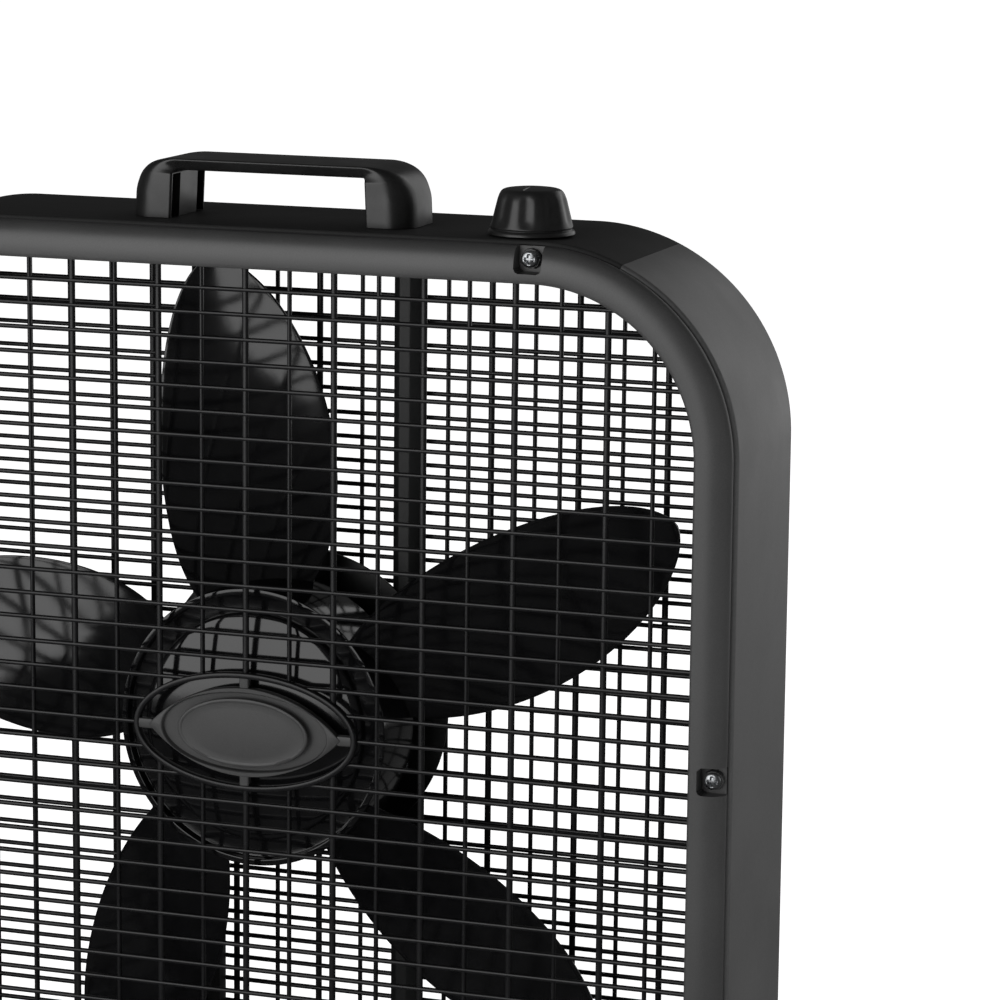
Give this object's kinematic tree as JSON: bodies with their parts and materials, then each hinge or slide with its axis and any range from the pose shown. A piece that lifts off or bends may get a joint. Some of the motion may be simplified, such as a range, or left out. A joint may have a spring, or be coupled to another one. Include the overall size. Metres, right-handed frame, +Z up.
{
  "type": "box fan",
  "caption": "Free-standing box fan: wrapped steel housing, barred grilles front and back, leaf-shaped blades on a hub, top carrying handle and rotary speed knob.",
  "frame": {"origin": "on the floor, under the middle of the body", "axes": "+Z up, the front grille faces -Y, +X to the right seen from the front"},
  "size_m": [0.5206, 0.13, 0.5672],
  "materials": {
    "housing_paint": "semi-gloss charcoal enamel",
    "panel_paint": "semi-gloss black enamel",
    "rail_paint": "black dipped steel",
    "grille_plastic": "fine moulded texture, black",
    "badge_plastic": "satin charcoal",
    "handle_plastic": "satin moulded, black",
    "knob_plastic": "satin moulded, black",
    "blade_plastic": "satin moulded, black",
    "switch_plastic": "plain moulded",
    "fastener_zinc": "zinc plated",
    "motor_steel": "plated pressed steel",
    "core_steel": "stacked laminations",
    "winding_copper": "enamelled copper wire",
    "bearing_bronze": "sintered bronze",
    "lead_rubber": "matte black sleeve"
  },
  "bodies": {
    "frame": {"top_panel": "panel_paint", "housing_band": "housing_paint", "front_grille": "grille_plastic", "badge_plate": "badge_plastic", "rear_grille": "grille_plastic", "front_screw_top_left": "fastener_zinc", "rear_screw_top_left": "fastener_zinc", "front_screw_top_right": "fastener_zinc", "rear_screw_top_right": "fastener_zinc", "front_screw_left": "fastener_zinc", "rear_screw_left": "fastener_zinc", "front_screw_right": "fastener_zinc", "rear_screw_right": "fastener_zinc", "front_screw_bottom_left": "fastener_zinc", "rear_screw_bottom_left": "fastener_zinc", "front_screw_bottom_right": "fastener_zinc", "rear_screw_bottom_right": "fastener_zinc", "motor_rail_left": "rail_paint", "motor_rail_right": "rail_paint", "rail_screw_upper_left": "fastener_zinc", "rail_screw_upper_right": "fastener_zinc", "rail_screw_lower_left": "fastener_zinc", "rail_screw_lower_right": "fastener_zinc", "motor_plate": "rail_paint", "motor_front_cover": "motor_steel", "motor_rear_cover": "motor_steel", "stator_core": "core_steel", "front_winding": "winding_copper", "rear_winding": "winding_copper", "front_bearing": "bearing_bronze", "rear_bearing": "bearing_bronze", "motor_bolt_left": "fastener_zinc", "motor_bolt_right": "fastener_zinc", "plate_screw_lower_left": "fastener_zinc", "plate_screw_upper_left": "fastener_zinc", "plate_screw_lower_right": "fastener_zinc", "plate_screw_upper_right": "fastener_zinc", "handle": "handle_plastic", "handle_screw_left": "fastener_zinc", "handle_screw_right": "fastener_zinc", "switch_body": "switch_plastic", "switch_nut": "fastener_zinc", "run_capacitor": "switch_plastic", "motor_leads": "lead_rubber", "cord_grommet": "lead_rubber", "foot_screw_left_front": "fastener_zinc", "foot_screw_left_rear": "fastener_zinc", "foot_left": "handle_plastic", "foot_screw_right_front": "fastener_zinc", "foot_screw_right_rear": "fastener_zinc", "foot_right": "handle_plastic"},
    "fan_rotor": {"fan_blade": "blade_plastic", "hub_cap": "blade_plastic", "blade_nut": "fastener_zinc", "motor_shaft": "motor_steel", "rotor_core": "core_steel"},
    "knob": {"speed_knob": "knob_plastic", "switch_shaft": "motor_steel"}
  },
  "joints": [
    {"name": "fan_spin", "type": "hinge", "parent": "frame", "child": "fan_rotor", "pos_m": [0, 0, 0.27635], "axis": [0, -1, 0], "continuous": true},
    {"name": "knob_turn", "type": "hinge", "parent": "frame", "child": "knob", "pos_m": [0.1454, -0.026, 0.545], "axis": [0, 0, -1], "range_deg": [0, 180]}
  ]
}
